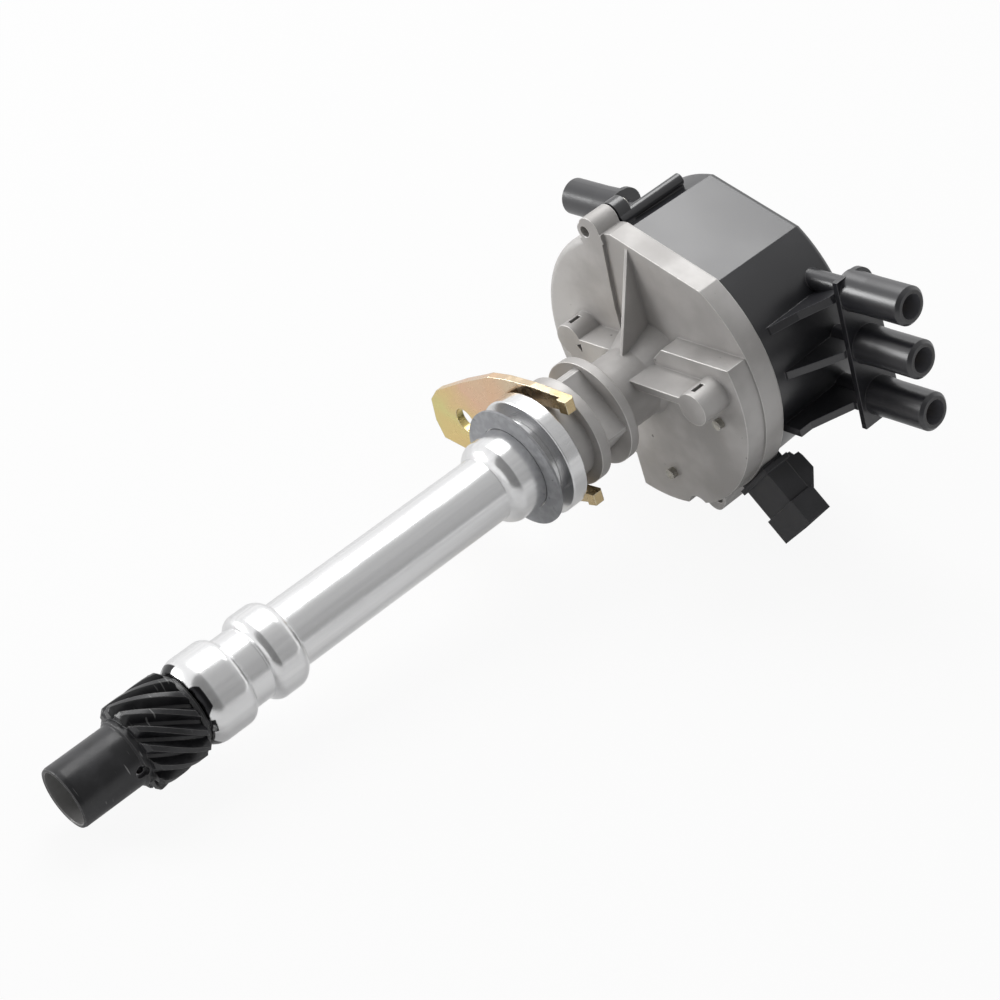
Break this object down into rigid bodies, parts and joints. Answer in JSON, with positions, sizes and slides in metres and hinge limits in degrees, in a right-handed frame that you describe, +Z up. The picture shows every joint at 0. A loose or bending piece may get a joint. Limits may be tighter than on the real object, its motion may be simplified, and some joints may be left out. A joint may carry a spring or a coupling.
{
  "type": "ignition distributor",
  "caption": "Ignition distributor with a long machined stem, helical drive gear, forked hold-down clamp and a flat-sided black cap with two rows of side towers.",
  "frame": {"origin": "on the shaft's axis, in the plane of the flange's underside that seats on the engine", "axes": "+Z up the shaft from the drive gear to the cap, +X along the towers of the lower row, +Y away from the cap's flat side"},
  "size_m": [0.182, 0.1249, 0.3468],
  "materials": {
    "cast_aluminium": "as cast, machined bright on the stem",
    "black_moulding": "satin",
    "cap_plastic": "semi-gloss",
    "bronze": "sintered",
    "fibre": "pressed fibre",
    "terminal_brass": "stamped",
    "zinc_steel": "zinc plated",
    "seal_rubber": "matt",
    "spring_steel": "ground",
    "shaft_steel": "ground",
    "black_steel": "black oxide",
    "carbon": null,
    "yellow_zinc": "yellow zinc with a pink and green sheen"
  },
  "bodies": {
    "fixed_body": {"housing": "cast_aluminium", "lower_bushing": "bronze", "upper_bushing": "bronze", "flange_gasket": "fibre", "camshaft_sensor": "black_moulding", "sensor_terminals": "terminal_brass", "sensor_screws": "zinc_steel", "breather_screens": "bronze", "cap": "cap_plastic", "cap_seal": "seal_rubber", "cap_screws": "zinc_steel", "right_terminals": "terminal_brass", "left_terminals": "terminal_brass", "coil_terminal": "terminal_brass", "button_spring": "spring_steel", "contact_button": "carbon"},
    "rotor_shaft": {"shaft": "shaft_steel", "drive_gear": "black_steel", "gear_roll_pin": "spring_steel", "thrust_washer": "spring_steel", "thrust_shim": "bronze", "upper_washer": "spring_steel", "vane_wheel": "shaft_steel", "vane_wheel_pin": "spring_steel", "rotor": "cap_plastic", "rotor_contact": "terminal_brass", "rotor_screws": "zinc_steel"},
    "clamp_body": {"hold_down_clamp": "yellow_zinc"}
  },
  "joints": [
    {"name": "shaft_spin", "type": "hinge", "parent": "fixed_body", "child": "rotor_shaft", "pos_m": [0, 0, 0], "axis": [0, 0, 1], "continuous": true},
    {"name": "clamp_swivel", "type": "hinge", "parent": "fixed_body", "child": "clamp_body", "pos_m": [0, 0, 0.0113], "axis": [0, 0, 1], "continuous": true}
  ]
}
